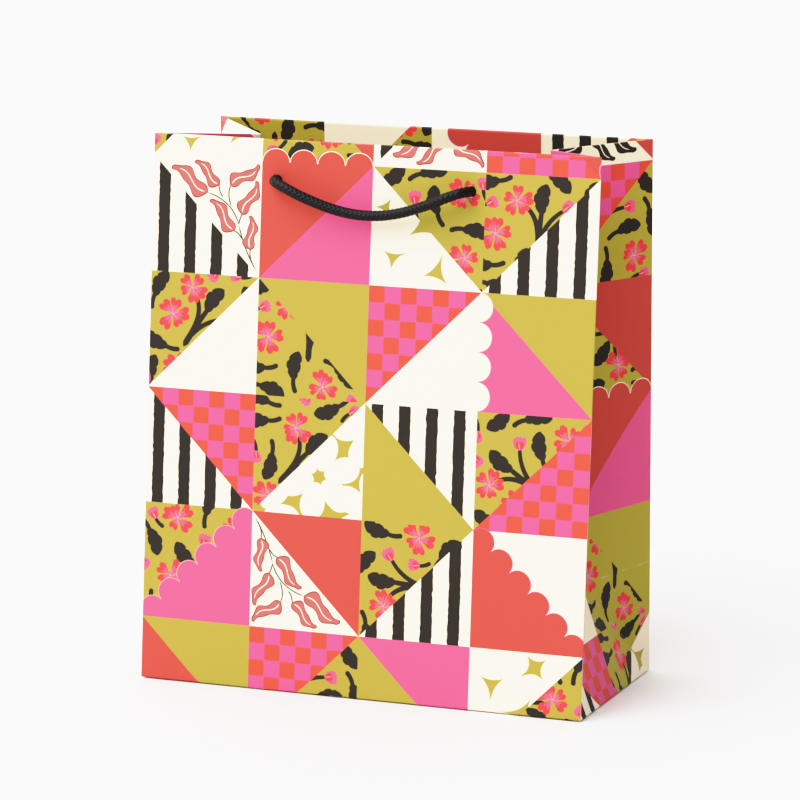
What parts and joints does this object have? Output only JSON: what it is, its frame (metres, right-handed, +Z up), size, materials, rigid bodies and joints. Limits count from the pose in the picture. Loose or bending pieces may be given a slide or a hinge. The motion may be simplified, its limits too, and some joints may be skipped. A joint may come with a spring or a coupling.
{
  "type": "gift bag",
  "caption": "Printed paper gift bag with a folded block bottom, pushed-in side gussets, a turned-in top and a knotted rope handle on the front and the rear.",
  "frame": {"origin": "middle of the underside of the base", "axes": "-Y out of the front, +X to the right seen from the front, +Z up"},
  "size_m": [0.208, 0.104, 0.2456],
  "materials": {
    "printed_paper": "smooth uncoated art paper, printed on the outside in a patchwork of olive, pink, coral, cream and black, with white cut edges and a plain white inside",
    "stiffening_card": "plain greyboard",
    "base_board": "plain white-lined board",
    "rope": "black braided polypropylene rope with a soft sheen"
  },
  "bodies": {
    "bag": {"front_panel": "printed_paper", "rear_panel": "printed_paper", "left_gusset_front": "printed_paper", "left_gusset_rear": "printed_paper", "right_gusset_front": "printed_paper", "right_gusset_rear": "printed_paper", "left_gusset_foot": "printed_paper", "right_gusset_foot": "printed_paper", "left_front_corner": "printed_paper", "left_rear_corner": "printed_paper", "right_front_corner": "printed_paper", "right_rear_corner": "printed_paper", "front_base_flap": "printed_paper", "rear_base_flap": "printed_paper", "left_base_flap": "printed_paper", "right_base_flap": "printed_paper", "side_seam_flap": "printed_paper", "front_hem": "printed_paper", "rear_hem": "printed_paper", "left_front_hem": "printed_paper", "left_rear_hem": "printed_paper", "right_front_hem": "printed_paper", "right_rear_hem": "printed_paper", "front_card": "stiffening_card", "rear_card": "stiffening_card", "front_left_rope_end": "rope", "front_right_rope_end": "rope", "front_left_knot": "rope", "front_right_knot": "rope", "rear_left_rope_end": "rope", "rear_right_rope_end": "rope", "rear_left_knot": "rope", "rear_right_knot": "rope"},
    "front_handle": {"front_handle": "rope"},
    "rear_handle": {"rear_handle": "rope"},
    "base_board": {"base_board": "base_board"}
  },
  "joints": [
    {"name": "front_handle_swing", "type": "hinge", "parent": "bag", "child": "front_handle", "pos_m": [0, -0.04774, 0.22662], "axis": [-1, 0, 0], "range_deg": [0, 180]},
    {"name": "rear_handle_swing", "type": "hinge", "parent": "bag", "child": "rear_handle", "pos_m": [0, 0.04774, 0.22662], "axis": [1, 0, 0], "range_deg": [0, 180]},
    {"name": "base_board_lift", "type": "slide", "parent": "bag", "child": "base_board", "axis": [0, 0, 1], "range_m": [0, 0.005]}
  ]
}
